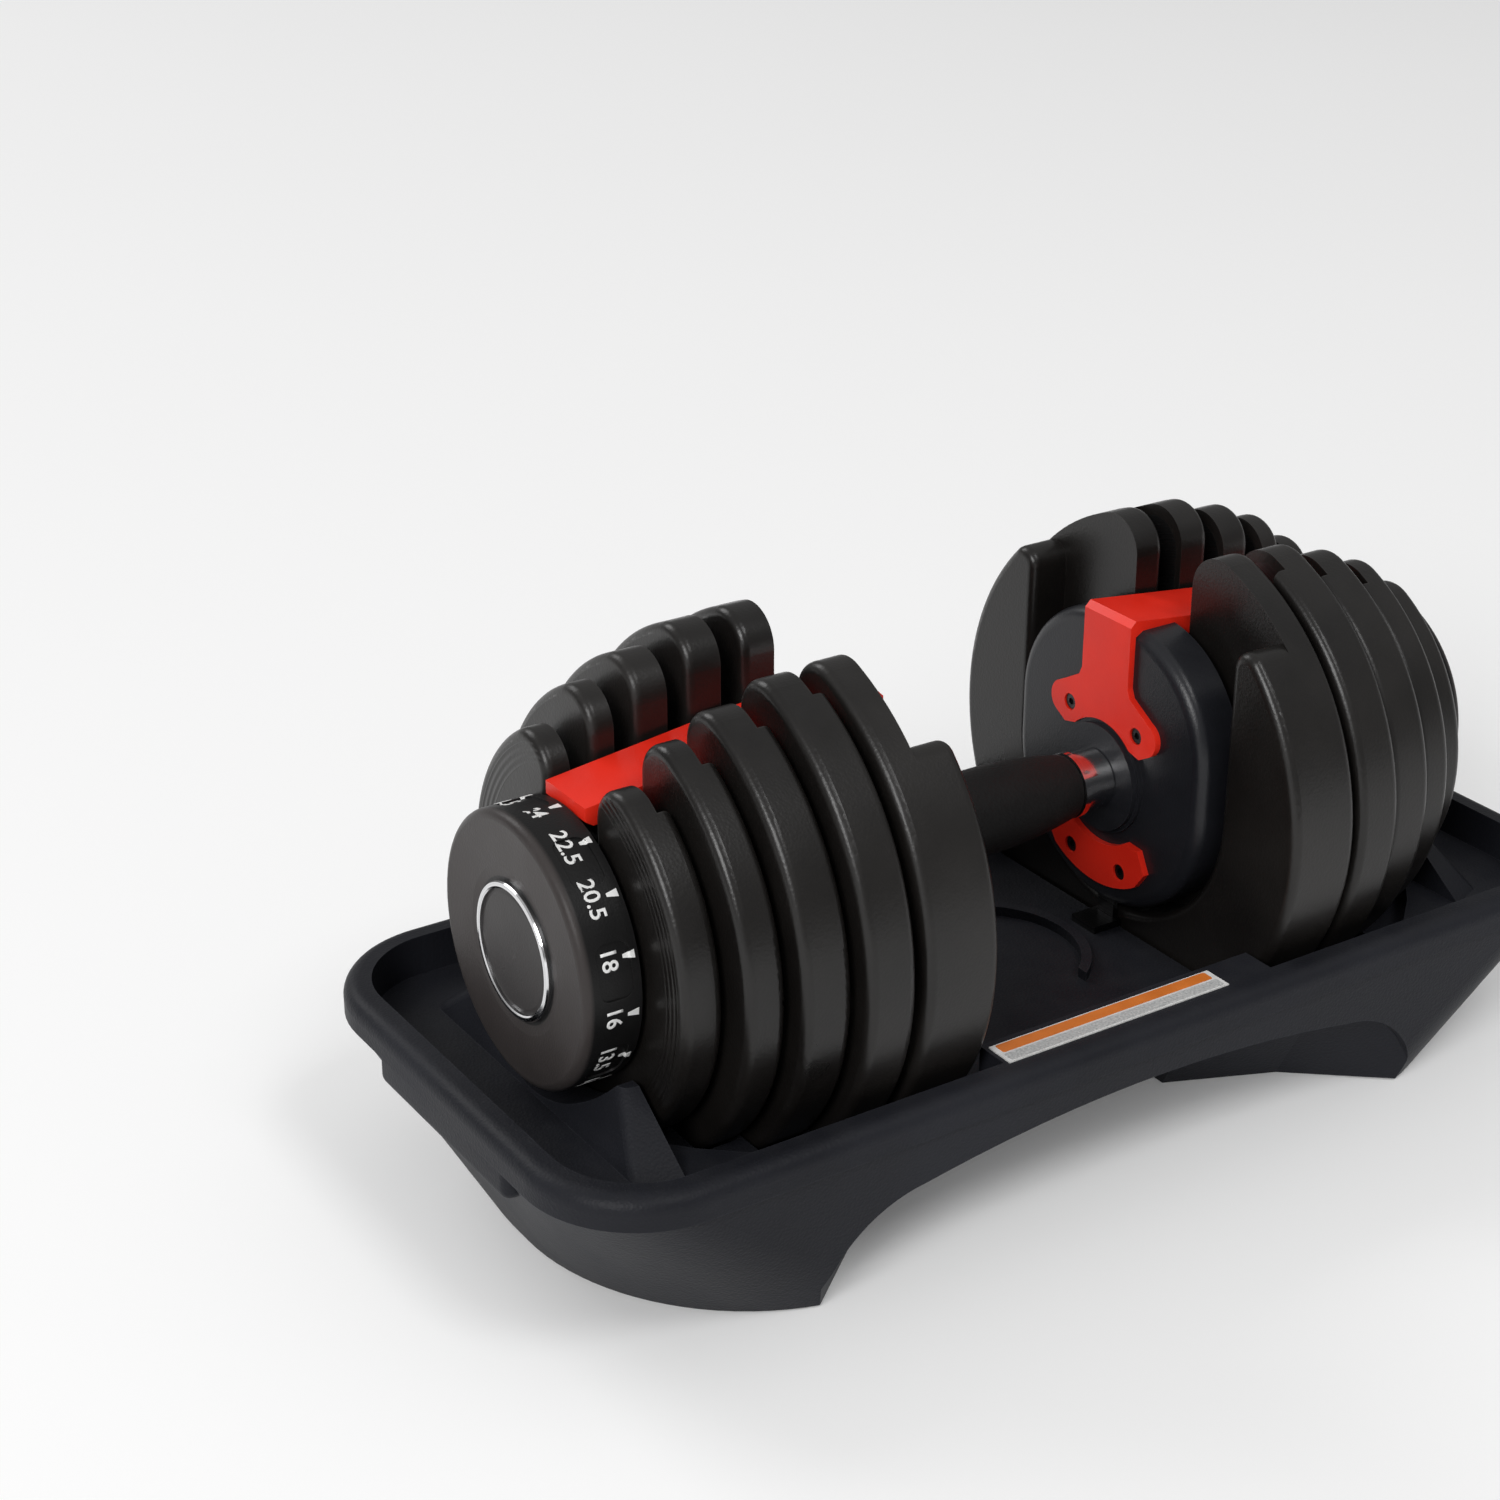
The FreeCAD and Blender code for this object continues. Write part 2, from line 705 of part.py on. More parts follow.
def slab(name, corners, low, high):
    """A level outline raised from one height to another."""
    return pad(name, "XY_Plane", corners, "(%s) - (%s)" % (high, low), low)


def arch():
    """The opening under the cradle between its two feet, from front to back."""
    return pad("arch", "XZ_Plane", [
        (-139.5, -1.0), (-139.5, 3.0, -137.9, 9.5), (-135.0, 16.2, -122.0, 32.3),
        (-98.0, 42.0, 0.0, 51.5), (98.0, 42.0, 122.0, 32.3), (135.0, 16.2, 137.9, 9.5),
        (139.5, 3.0), (139.5, -1.0)], 260.0, -130.0)


def foot_plan(name, x0, inset):
    """A foot, narrow on the ground under the inner edge of the well and wider above."""
    def corners(narrow, middle, wide):
        front = [(x0, inset - narrow), (100.0, inset - middle), (139.0, inset - wide),
                 (250.0, inset - 140.0)]
        return front + [(x, -y) for x, y in reversed(front)]
    return loft(name, corners(46.0, 64.0, 96.0), 0.0, corners(76.0, 94.0, 107.0), 60.0)


def troughs(gap):
    """The round beds of the plates of one end, larger than the plates by a gap."""
    side_gap = 1.2
    beds = [rod("wing_in - %r" % side_gap, "plate5_out + %r" % side_gap,
                "plate5_radius + %r" % gap)]
    for k in (4, 3, 2, 1):
        beds.append(rod("plate%d_in - %r" % (k, side_gap), "plate%d_out + %r" % (k, side_gap),
                        "plate%d_radius + %r" % (k, gap)))
    return fuse(*beds)


def well():
    """The opening in the deck that the plates of one end stand in."""
    back = [("well_out", 48.0), (165.0, 63.0), (151.0, 75.0), (130.0, "well_half"),
            ("well_in", "well_half")]
    front = [("well_in", "0 - well_half"), (130.0, "0 - well_half"), (151.0, -75.0),
             (165.0, -63.0), ("well_out", -48.0)]
    return slab("well", front + back, "deck_top", 80.0)


def pedestal():
    """The block under the dial, with a round seat that the dial hangs in."""
    low = [("well_out", -80.0), (196.0, -73.0), (196.0, 73.0), ("well_out", 80.0)]
    high = [("well_out", -47.0), (185.0, -45.7), (185.0, 45.7), ("well_out", 47.0)]
    shape = loft("pedestal", low, "pocket_floor - 2", high, "pedestal_top")
    shape = rounded(shape, 5.0, lambda edge: edge.BoundBox.ZLength > 20 and edge.BoundBox.XMax > 190)
    return cut(shape, rod("well_out - 1", "well_out + 40", "seat_radius"))


def both(thing):
    return fuse(thing, flipped(thing, (1, 0, 0)))


def pad_places():
    return [(sign_x * 158.0, sign_y * 62.0) for sign_x in (1, -1) for sign_y in (1, -1)]


def upright(x, y, low, high, radius):
    """A vertical cylinder."""
    thing = doc.addObject("Part::Cylinder", "upright")
    thing.Radius = radius
    thing.Height = high - low
    place(thing, x, y, low)
    return thing


def cradle_tray():
    body = loft("skirt", foot_outline(0.0), "foot_rise", grown(0.0), "rim_bottom")
    rim = slab("rim", grown(1.5), "rim_bottom", "rim_top")
    rim = rounded(rim, 6.0, lambda edge: edge.BoundBox.ZMin > D["rim_top"] - 0.01)
    shell = fuse(body, rim)
    pocket = common(slab("pocket", grown(-D["rim_width"]), "pocket_floor", 80.0),
                    block("well_in", 260, -120, 120, 50, 90))
    middle = block("0 - well_in - 1", "well_in + 1", "0 - deck_half", "deck_half", "deck_top", 80)
    deck_under = "deck_top - deck_thick"
    bay = cut(arch(), both(foot_plan("foot", D["well_in"] - D["wall"], 0.0)),
              block("0 - well_in", "well_in", -96, 96, deck_under, "deck_top"))
    under_deck = block("wall - well_in", "well_in - wall", -96, 96, -2, deck_under)
    hollow = common(loft("hollow", foot_outline(-5.0), 0.0, grown(-5.0), "rim_bottom"),
                    foot_plan("foot_hollow", D["well_in"], D["wall"]),
                    block(0, 250, -120, 120, 0, "foot_hollow_top"))
    posts = [upright(x, y, 0.0, 34.0, 12.0) for x, y in pad_places() if x > 0]
    hollow = cut(hollow, troughs(4.5), *posts)
    solid = cut(shell, both(pocket), middle, bay, under_deck, both(hollow))
    solid = fuse(solid, both(pedestal()))
    solid = cut(solid, both(fuse(well(), troughs(D["trough_gap"]))))
    seats = [upright(x, y, 0.0, 3.0, 9.1) for x, y in pad_places()]
    return cut(solid, *seats)


def finger_ribs():
    """Two curved ribs on the deck that leave room for the fingers round the grip."""
    deck = D["deck_top"]
    ring = cut(upright(4.0, 0.0, deck, deck + 4, 41.0), upright(4.0, 0.0, deck - 1, deck + 5, 37.0))
    return both(common(ring, block(26, 60, -40, 40, 40, 60)))


def foot_pads():
    """Four round rubber pads, all in one node."""
    return fuse(*[upright(x, y, 0.0, 3.0, 9.0) for x, y in pad_places()])


def release_posts():
    """The posts that hold the lock sliders up while the dumbbell stands in the cradle."""
    base = block("slider_in - 11", "slider_out", -7, 7, "deck_top", "deck_top + 3")
    post = block("slider_in", "slider_out", -4.6, 4.6, "deck_top + 2",
                 "axle_height - slider_reach - 0.2")
    return both(fuse(base, post))


def label_plate():
    """A blank striped label on the front rim of the cradle."""
    return block(-60, 40, -97, -85, "rim_top", "rim_top + 0.5")


# ---- the assembly ----

node(grip(), "grip")
node(handle_tube(), "handle_tube")
both_ends(collar(), "collar")
both_ends(housing(), "housing")
both_ends(bridge(), "bridge")
both_ends(lower_plate(), "lower_plate")
node(bracket_screws(), "bracket_screws")
both_ends(lock_slider(), "lock_slider")
both_ends(axle(), "axle")
both_ends(dial(), "dial")
both_ends(dial_ring(), "dial_ring")
both_ends(dial_cap(), "dial_cap")
both_ends(dial_screw(), "dial_screw")
for k in PLATES:
    both_ends(selector_disc(k), "selector_disc_%d" % k)
    steel = core(k)
    both_ends(cover(k, steel), "plate_cover_%d" % k)
    both_ends(steel, "plate_core_%d" % k)
node(fuse(cradle_tray(), finger_ribs()), "cradle_tray")
node(foot_pads(), "foot_pads")
node(release_posts(), "release_posts")
node(label_plate(), "label_plate")
doc.recompute()

faults = [thing.Name for thing in doc.Objects if "Invalid" in thing.State or "Error" in thing.State]
for thing in nodes:
    if thing.Shape.isNull() or not thing.Shape.isValid() or not thing.Shape.Solids:
        faults.append(thing.Label)
if faults:
    raise RuntimeError("failed objects: %s" % ", ".join(faults))

os.makedirs("parts", exist_ok=True)
for thing in nodes:
    thing.Shape.exportStep("parts/%s.step" % thing.Label)
    print(thing.Label, len(thing.Shape.Solids), round(thing.Shape.Volume / 1000, 1), "cm3")
print(len(nodes), "nodes")
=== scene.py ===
# %% [markdown]
# An adjustable dumbbell stands in its storage cradle.
# The hard shapes come ready made, so this lesson gives them their
# finishes, prints the numbers on the two dials, lays the label and sets up a small studio.
# Everything is in metres: X runs along the handle, Z is up, and the axle is 115 mm high.

import json
import math

import bpy
from mathutils import Matrix, Vector


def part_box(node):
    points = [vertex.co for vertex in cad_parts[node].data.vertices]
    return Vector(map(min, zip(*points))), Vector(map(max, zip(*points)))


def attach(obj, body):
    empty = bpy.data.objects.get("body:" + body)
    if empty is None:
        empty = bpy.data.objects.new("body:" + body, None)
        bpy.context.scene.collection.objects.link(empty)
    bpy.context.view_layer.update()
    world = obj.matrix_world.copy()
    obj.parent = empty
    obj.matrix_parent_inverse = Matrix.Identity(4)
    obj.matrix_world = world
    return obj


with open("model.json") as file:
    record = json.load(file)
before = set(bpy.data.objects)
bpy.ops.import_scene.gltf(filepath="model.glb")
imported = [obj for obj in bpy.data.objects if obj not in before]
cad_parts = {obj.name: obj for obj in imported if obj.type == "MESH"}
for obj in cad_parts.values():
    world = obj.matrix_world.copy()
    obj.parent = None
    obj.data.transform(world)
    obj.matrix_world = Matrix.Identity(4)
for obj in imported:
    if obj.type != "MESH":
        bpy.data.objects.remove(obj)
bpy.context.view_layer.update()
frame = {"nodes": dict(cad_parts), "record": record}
nodes = frame["nodes"]
slot_of = {part["node"]: part["material_slot"] for part in frame["record"]["subparts"]}
AXLE = 0.115
SIDES = {"right": 1.0, "left": -1.0}
print(len(nodes), "ready made parts in", len(set(slot_of.values())), "finishes")

# %% [markdown]
# The dumbbell is seen from in front of its left end and from above, with a long lens that
# keeps the plates round. Aiming at a point is easier to read than typing three angles.

# %% Camera
EYE = Vector((-0.5918, -0.7517, 0.5810))
TARGET = Vector((-0.07075, 0.05057, 0.13834))


def aim(thing, place, target):
    """Stand a camera or lamp at a place, looking at a target."""
    thing.location = place
    thing.rotation_euler = (target - place).to_track_quat("-Z", "Y").to_euler()
    bpy.context.scene.collection.objects.link(thing)


camera = bpy.data.objects.new("camera", bpy.data.cameras.new("camera"))
camera.data.sensor_width = 36.0
camera.data.lens = 67.92
aim(camera, EYE, TARGET)
bpy.context.scene.camera = camera
bpy.context.scene.view_settings.view_transform = "Standard"
print("lens", camera.data.lens, "mm")

# %% [markdown]
# A finish is a web of small nodes. Typing each node and link out in full hides what the
# finish does, so one helper adds a node, sets it and plugs in its inputs together.
# A second helper opens a node group with named inputs and outputs, to be used many times.

# %% Helpers for nodes
NUMBER = "NodeSocketFloat"
DIRECTION = "NodeSocketVector"


def add(tree, kind, feeds=None, **settings):
    """A new node, with its settings and with sockets or plain values fed into its inputs."""
    node = tree.nodes.new(kind)
    for key, value in settings.items():
        setattr(node, key, value)
    for key, source in (feeds or {}).items():
        if isinstance(source, bpy.types.NodeSocket):
            tree.links.new(source, node.inputs[key])
        else:
            node.inputs[key].default_value = source
    return node


def sum_of(tree, operation, *values, clamp=False):
    """The result of one sum on numbers or sockets."""
    feeds = dict(enumerate(values))
    return add(tree, "ShaderNodeMath", feeds, operation=operation, use_clamp=clamp).outputs[0]


def ramp(tree, value, low, high, to_low=0.0, to_high=1.0):
    """A value's range, stretched and clamped to another range."""
    feeds = {"Value": value, "From Min": low, "From Max": high, "To Min": to_low,
             "To Max": to_high}
    return add(tree, "ShaderNodeMapRange", feeds).outputs["Result"]


def noise(tree, place, scale, detail=2.0):
    """Smooth noise about 0.5, whose lumps are 1 / scale across."""
    feeds = {"Vector": place, "Scale": scale, "Detail": detail}
    return add(tree, "ShaderNodeTexNoise", feeds).outputs["Fac"]


def open_group(name, inputs, outputs):
    """An empty node group with its input and output nodes."""
    group = bpy.data.node_groups.new(name, "ShaderNodeTree")
    for label, kind in inputs.items():
        group.interface.new_socket(label, in_out="INPUT", socket_type=kind)
    for label in outputs:
        group.interface.new_socket(label, in_out="OUTPUT", socket_type=NUMBER)
    return group, add(group, "NodeGroupInput").outputs, add(group, "NodeGroupOutput").inputs


def use(tree, group, feeds):
    """A group placed in a finish with its own values."""
    return add(tree, "ShaderNodeGroup", feeds, node_tree=bpy.data.node_groups[group]).outputs


print("helpers ready")

# %% [markdown]
# Many parts here are round about the same axle: plates, dials, rings and collars.
# This group says how far a point is from the axle's line and how far out along it, so that
# a finish can follow the turning of a part without any unwrapping.

# %% Group: distances from the axle
group, given, result = open_group("from_the_axle", {"Place": DIRECTION}, ("Radius", "Reach"))
parts = add(group, "ShaderNodeSeparateXYZ", {0: given["Place"]}).outputs
height = sum_of(group, "SUBTRACT", parts["Z"], AXLE)
squares = sum_of(group, "ADD", sum_of(group, "POWER", parts["Y"], 2.0),
                 sum_of(group, "POWER", height, 2.0))
group.links.new(sum_of(group, "SQRT", squares), result["Radius"])
group.links.new(sum_of(group, "ABSOLUTE", parts["X"]), result["Reach"])
print("group", group.name)

# %% [markdown]
# Moulded plastic and rubber take a fine grain from the steel mould, and their colour drifts a
# little over a hand's width. Small cells give the leathery bumps, a soft noise breaks up
# their evenness, and a slow noise gives the drift.

# %% Group: moulded grain
group, given, result = open_group(
    "moulded_grain", {"Place": DIRECTION, "Grain": NUMBER, "Patch": NUMBER},
    ("Height", "Tone"))
fine = sum_of(group, "DIVIDE", 1.0, given["Grain"])
cells = add(group, "ShaderNodeTexVoronoi", {"Vector": given["Place"], "Scale": fine})
soft = noise(group, given["Place"], sum_of(group, "MULTIPLY", fine, 0.6), 3.0)
bumps = sum_of(group, "MULTIPLY_ADD", cells.outputs["Distance"], 0.6,
               sum_of(group, "MULTIPLY", soft, 0.5))
slow = noise(group, given["Place"], sum_of(group, "DIVIDE", 1.0, given["Patch"]), 4.0)
group.links.new(bumps, result["Height"])
group.links.new(ramp(group, slow, 0.3, 0.7), result["Tone"])
print("group", group.name)

# %% [markdown]
# Corners rub first. The bevel node looks round a corner and bends the surface direction
# there, so comparing it with the true direction finds every edge, and noise breaks the line
# up as real rubbing does.

# %% Group: worn edges
group, given, result = open_group(
    "worn_edge", {"Place": DIRECTION, "Width": NUMBER, "Breakup": NUMBER}, ("Mask",))
bent = add(group, "ShaderNodeBevel", {"Radius": given["Width"]}, samples=4).outputs["Normal"]
true = add(group, "ShaderNodeNewGeometry").outputs["Normal"]
same = add(group, "ShaderNodeVectorMath", {0: bent, 1: true}, operation="DOT_PRODUCT")
edge = ramp(group, same.outputs["Value"], 0.985, 0.86)
broken = ramp(group, noise(group, given["Place"], given["Breakup"], 5.0), 0.35, 0.62)
group.links.new(sum_of(group, "MULTIPLY", edge, broken), result["Mask"])
print("group", group.name)

# %% [markdown]
# A little dust lies on whatever faces up. It is thin and patchy, so it only lifts the
# darkest plastics by a shade and takes off some of their shine.

# %% Group: settled dust
group, given, result = open_group(
    "settled_dust", {"Place": DIRECTION, "Patch": NUMBER}, ("Mask",))
facing = add(group, "ShaderNodeNewGeometry").outputs["Normal"]
upward = add(group, "ShaderNodeSeparateXYZ", {0: facing}).outputs["Z"]
lying = ramp(group, upward, 0.6, 1.0)
patchy = ramp(group, noise(group, given["Place"],
                           sum_of(group, "DIVIDE", 1.0, given["Patch"]), 6.0), 0.35, 0.75)
group.links.new(sum_of(group, "MULTIPLY", lying, patchy), result["Mask"])
print("group", group.name)

# %% [markdown]
# Turned steel keeps the fine rings of the cutting tool. Noise that changes quickly along the
# axle and with the radius, but hardly at all round it, gives those rings.

# %% Group: turned rings
group, given, result = open_group(
    "turned_rings", {"Place": DIRECTION, "Pitch": NUMBER}, ("Height", "Streak"))
polar = use(group, "from_the_axle", {"Place": given["Place"]})
line = add(group, "ShaderNodeCombineXYZ",
           {"X": sum_of(group, "DIVIDE", polar["Radius"], given["Pitch"]),
            "Y": sum_of(group, "DIVIDE", polar["Reach"], given["Pitch"])}).outputs[0]
rings = noise(group, line, 1.0, 3.0)
group.links.new(rings, result["Height"])
group.links.new(ramp(group, rings, 0.3, 0.7), result["Streak"])
print("group", group.name)

# %% [markdown]
# Every finish is built the same way: a colour that drifts between two tones, edges that have
# rubbed to a third, a shade of dust, a roughness that varies with the tone, and grain as
# bump. What makes one finish rubber and another lacquer is only its values.

# %% A finish from its values
DUST = (0.085, 0.083, 0.08, 1.0)
DUST_PATCH = 0.012
RUB_WIDTH = 0.0008
RUB_BREAKUP = 90.0


def tint(tree, below, colour, mask):
    """A colour laid over another where a mask is 1."""
    mix = add(tree, "ShaderNodeMix", {0: mask}, data_type="RGBA")
    for index, source in ((6, below), (7, colour)):
        if isinstance(source, bpy.types.NodeSocket):
            tree.links.new(source, mix.inputs[index])
        else:
            mix.inputs[index].default_value = source
    return mix.outputs[2]


def plain(name, metallic=0.0, specular=0.5):
    """An unfinished material: its tree, its shader and the place on the object."""
    material = bpy.data.materials.new(name)
    material.use_nodes = True
    tree = material.node_tree
    shader = tree.nodes["Principled BSDF"]
    shader.inputs["Metallic"].default_value = metallic
    shader.inputs["Specular IOR Level"].default_value = specular
    place = add(tree, "ShaderNodeTexCoord").outputs["Object"]
    return material, tree, shader, place


def moulded(name, dark, light, rough, grain, depth, patch=0.04, worn=0.0, dust=0.0,
            specular=0.5, spread=0.12):
    """Moulded plastic or rubber in two close tones; grain and depth are its bumps, in metres."""
    material, tree, shader, place = plain(name, specular=specular)
    skin = use(tree, "moulded_grain", {"Place": place, "Grain": grain, "Patch": patch})
    colour = tint(tree, (*dark, 1.0), (*light, 1.0), skin["Tone"])
    if worn:
        rubbed = use(tree, "worn_edge",
                     {"Place": place, "Width": RUB_WIDTH, "Breakup": RUB_BREAKUP})
        pale = tuple(min(1.0, part * 2.2 + 0.012) for part in light)
        mask = sum_of(tree, "MULTIPLY", rubbed["Mask"], worn)
        colour = tint(tree, colour, (*pale, 1.0), mask)
    matt = ramp(tree, skin["Tone"], 0.0, 1.0, rough - spread / 2, rough + spread / 2)
    if dust:
        film = use(tree, "settled_dust", {"Place": place, "Patch": DUST_PATCH})
        mask = sum_of(tree, "MULTIPLY", film["Mask"], dust)
        colour = tint(tree, colour, DUST, mask)
        matt = sum_of(tree, "MULTIPLY_ADD", mask, 0.5, matt, clamp=True)
    tree.links.new(colour, shader.inputs["Base Color"])
    tree.links.new(matt, shader.inputs["Roughness"])
    bump = add(tree, "ShaderNodeBump", {"Height": skin["Height"], "Distance": depth})
    tree.links.new(bump.outputs["Normal"], shader.inputs["Normal"])
    return material


def steel(name, dark, light, rough, pitch, depth, spread=0.1):
    """Turned or drawn steel with fine rings round the axle."""
    material, tree, shader, place = plain(name, metallic=1.0)
    cut = use(tree, "turned_rings", {"Place": place, "Pitch": pitch})
    tree.links.new(tint(tree, (*dark, 1.0), (*light, 1.0), cut["Streak"]),
                   shader.inputs["Base Color"])
    tree.links.new(ramp(tree, cut["Streak"], 0.0, 1.0, rough + spread / 2, rough - spread / 2),
                   shader.inputs["Roughness"])
    bump = add(tree, "ShaderNodeBump", {"Height": cut["Height"], "Distance": depth})
    tree.links.new(bump.outputs["Normal"], shader.inputs["Normal"])
    return material


print("finish builders ready")

# %% [markdown]
# The plates are steel inside a satin black plastic cover, the housing is a bluer and
# smoother plastic, and the cradle is coarse charcoal. The brackets are glossy signal red.
# The steel of the collars and rings is chromed, the rest is plain or blackened.

# %% The finishes of the ready made parts
finishes = {
    "plate_cover": moulded("plate_cover", (0.0058, 0.0051, 0.0047), (0.0125, 0.0110, 0.0100),
                           0.33, 0.0011, 0.00006, 0.05, worn=0.6, dust=0.05, specular=0.40),
    "plate_steel": steel("plate_steel", (0.05, 0.05, 0.052), (0.12, 0.12, 0.12), 0.42,
                         0.0006, 0.00004),
    "housing_plastic": moulded("housing_plastic", (0.0085, 0.0090, 0.0115),
                               (0.0145, 0.0152, 0.0185), 0.34, 0.0008, 0.00005, 0.05, worn=0.35,
                               dust=0.05, specular=0.35),
    "red_plastic": moulded("red_plastic", (0.72, 0.018, 0.007), (0.84, 0.028, 0.012), 0.36,
                           0.0009, 0.00004, 0.03, worn=0.15, specular=0.3),
    "dial_plastic": moulded("dial_plastic", (0.0055, 0.0054, 0.0056), (0.0095, 0.0092, 0.0093),
                            0.40, 0.0008, 0.00006, 0.03, worn=0.3, specular=0.22),
    "disc_plastic": moulded("disc_plastic", (0.03, 0.03, 0.032), (0.05, 0.05, 0.052), 0.45,
                            0.001, 0.00005, 0.03),
    "cradle_plastic": moulded("cradle_plastic", (0.0095, 0.0100, 0.0132),
                              (0.0160, 0.0168, 0.0215), 0.50, 0.0011, 0.00014, 0.06, worn=0.4,
                              dust=0.06, specular=0.16),
    "rubber_grip": moulded("rubber_grip", (0.0060, 0.0056, 0.0056), (0.0105, 0.0098, 0.0098),
                           0.62, 0.0013, 0.00022, 0.02, specular=0.2),
    "foot_rubber": moulded("foot_rubber", (0.012, 0.012, 0.012), (0.022, 0.021, 0.02), 0.75,
                           0.0012, 0.0002, 0.01, dust=0.3),
    "label": moulded("label", (0.60, 0.60, 0.59), (0.74, 0.74, 0.73), 0.45, 0.0005, 0.00001,
                     0.004, spread=0.06),
    "bright_steel": steel("bright_steel", (0.62, 0.62, 0.63), (0.80, 0.80, 0.81), 0.13,
                          0.0003, 0.000006, 0.06),
    "tube_steel": steel("tube_steel", (0.34, 0.34, 0.35), (0.5, 0.5, 0.5), 0.32,
                        0.0005, 0.00002),
    "screw_steel": steel("screw_steel", (0.03, 0.03, 0.032), (0.08, 0.08, 0.08), 0.35,
                         0.0004, 0.00002),
}
print(len(finishes), "finishes")

# %% [markdown]
# Three places need more than their plain finish. The dial is warm grey on its face and
# black round its side and in the gap about its ring, its cap matches the face, and the
# outermost plate has a few fine grooves near its rim. Each starts as a copy of the finish it
# belongs to, and a pair of distances says where the change begins and is complete.

# %% The dial's face and the outer plate's grooves
FACE = (0.040, 0.0345, 0.0335, 1.0)
CAP = (0.036, 0.033, 0.033, 1.0)
FACE_REACH = (0.1962, 0.1978)
CAP_REACH = (0.1960, 0.1966)
RING_EDGE = (0.0262, 0.0265)
GROOVES_START = (0.0605, 0.0608)
GROOVES_END = (0.0685, 0.0682)
GROOVES_REACH = (0.1755, 0.1758)
GROOVE_PITCH = 0.0026
GROOVE_DEPTH = 1.6


def copy_of(name, slot):
    """A copy of a finish, with its tree, shader and distances from the axle."""
    material = finishes[slot].copy()
    material.name = name
    tree = material.node_tree
    place = next(node for node in tree.nodes if node.type == "TEX_COORD").outputs["Object"]
    polar = use(tree, "from_the_axle", {"Place": place})
    return material, tree, tree.nodes["Principled BSDF"], polar


def cover_with(tree, shader, colour, mask):
    """Lay one more colour over all that a finish has."""
    below = shader.inputs["Base Color"].links[0].from_socket
    skin = next(node for node in tree.nodes if node.type == "GROUP").outputs["Tone"]
    deeper = tuple(part * 0.82 for part in colour[:3]) + (1.0,)
    toned = tint(tree, deeper, colour, skin)
    tree.links.new(tint(tree, below, toned, mask), shader.inputs["Base Color"])


dial_finish, tree, shader, polar = copy_of("dial_two_tone", "dial_plastic")
outward = ramp(tree, polar["Reach"], *FACE_REACH)
ring_gap = ramp(tree, polar["Radius"], *RING_EDGE)
cover_with(tree, shader, FACE, sum_of(tree, "MULTIPLY", outward, ring_gap))

cap_finish, tree, shader, polar = copy_of("dial_cap_grey", "dial_plastic")
cover_with(tree, shader, CAP, ramp(tree, polar["Reach"], *CAP_REACH))

grooved, tree, shader, polar = copy_of("plate_cover_grooved", "plate_cover")
rim_band = sum_of(tree, "MULTIPLY", ramp(tree, polar["Radius"], *GROOVES_START),
                  ramp(tree, polar["Radius"], *GROOVES_END))
turns = sum_of(tree, "MULTIPLY", polar["Radius"], 2.0 * math.pi / GROOVE_PITCH)
outside = ramp(tree, polar["Reach"], *GROOVES_REACH)
groove = sum_of(tree, "MULTIPLY", sum_of(tree, "MULTIPLY", rim_band, outside),
                sum_of(tree, "SINE", turns))
bump = next(node for node in tree.nodes if node.type == "BUMP")
grain = bump.inputs["Height"].links[0].from_socket
tree.links.new(sum_of(tree, "MULTIPLY_ADD", groove, GROOVE_DEPTH, grain),
               bump.inputs["Height"])
print("special finishes", dial_finish.name, cap_finish.name, grooved.name)

# %% [markdown]
# Now each ready made part gets the finish of its slot, or its special one. The posts in the
# wells stand in the shade under the housing, so they get the dark screw finish in place of their
# steel as painted shade, and don't shine through the gaps.

# %% Paint the ready made parts
special = {}
for side in SIDES:
    special["dial_" + side] = dial_finish
    special["dial_cap_" + side] = cap_finish
    special["plate_cover_1_" + side] = grooved
# painted shade: the posts under the housing get the dark screw finish instead of their own steel
special["release_posts"] = finishes["screw_steel"]
for name, part in nodes.items():
    part.data.materials.clear()
    part.data.materials.append(special.get(name, finishes[slot_of[name]]))
print("painted", len(nodes), "parts")

# %% [markdown]
# The dial's side carries the weight of each click in white figures, each with a wedge that
# points at it. They are printed round a barrel with finger hollows, so flat text would float
# or sink. Each mark starts flat just outside the barrel, is dropped on to the surface by a
# shrinkwrap along its own axis, and then gets a thickness.

# %% Helpers for pieces
def rest():
    """Leave edit mode with nothing selected."""
    if bpy.context.object and bpy.context.object.mode != "OBJECT":
        bpy.ops.object.mode_set(mode="OBJECT")
    bpy.ops.object.select_all(action="DESELECT")


def choose(*things):
    """Select only these things, the first of them active."""
    rest()
    for thing in things:
        thing.select_set(True)
    bpy.context.view_layer.objects.active = things[0]


def settle(piece, name, body, material):
    """Give a shaped piece its name, body and finish, with its place in its mesh."""
    choose(piece)
    bpy.ops.object.transform_apply(location=True, rotation=True, scale=True)
    piece.name = name
    piece.data.materials.clear()
    piece.data.materials.append(material)
    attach(piece, body)
    print(name, len(piece.data.polygons), "faces")


def modify(piece, kind, **settings):
    """Add one modifier and apply it."""
    choose(piece)
    modifier = piece.modifiers.new(kind.lower(), kind)
    for key, value in settings.items():
        setattr(modifier, key, value)
    bpy.ops.object.modifier_apply(modifier=modifier.name)


rest()
print("nothing selected")

